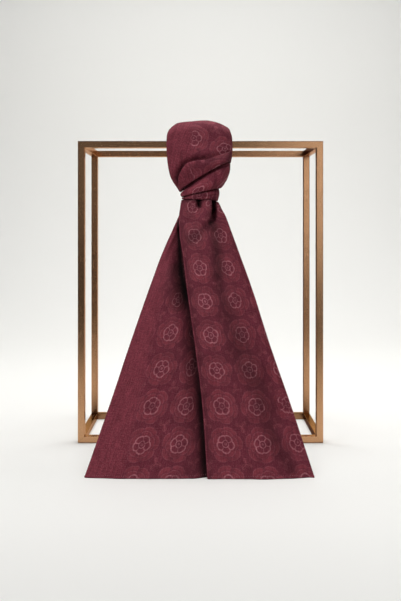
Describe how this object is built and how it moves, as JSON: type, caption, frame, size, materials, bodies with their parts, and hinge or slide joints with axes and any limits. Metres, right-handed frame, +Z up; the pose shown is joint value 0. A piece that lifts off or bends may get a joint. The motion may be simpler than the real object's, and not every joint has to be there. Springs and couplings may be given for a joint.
{
  "type": "shawl on a display stand",
  "caption": "Long jacquard shawl folded lengthwise, looped over the front top bar of an open square-tube display stand and tied in a knot, its ends fanning out to the floor.",
  "frame": {"origin": "middle of the whole part's footprint, on the floor that the stand rests on", "axes": "+Z up, +X along the front bar to the right as seen from the front, +Y from the front towards the back of the stand"},
  "size_m": [0.65, 0.5639, 0.8534],
  "materials": {
    "shawl_cloth": "wine-red tone-on-tone flower jacquard on a fine twill, soft low sheen",
    "stand_metal": "satin bronze plating on square steel tube"
  },
  "bodies": {
    "root": {"shawl_loop": "shawl_cloth", "shawl_wrap": "shawl_cloth", "shawl_knot_band": "shawl_cloth", "shawl_knot_inner": "shawl_cloth", "shawl_end_front": "shawl_cloth", "shawl_end_back": "shawl_cloth", "stand_front_left_post": "stand_metal", "stand_front_right_post": "stand_metal", "stand_back_left_post": "stand_metal", "stand_back_right_post": "stand_metal", "stand_bottom_front_rail": "stand_metal", "stand_bottom_back_rail": "stand_metal", "stand_top_front_rail": "stand_metal", "stand_top_back_rail": "stand_metal", "stand_bottom_left_side_rail": "stand_metal", "stand_bottom_right_side_rail": "stand_metal", "stand_top_left_side_rail": "stand_metal", "stand_top_right_side_rail": "stand_metal"}
  },
  "joints": []
}
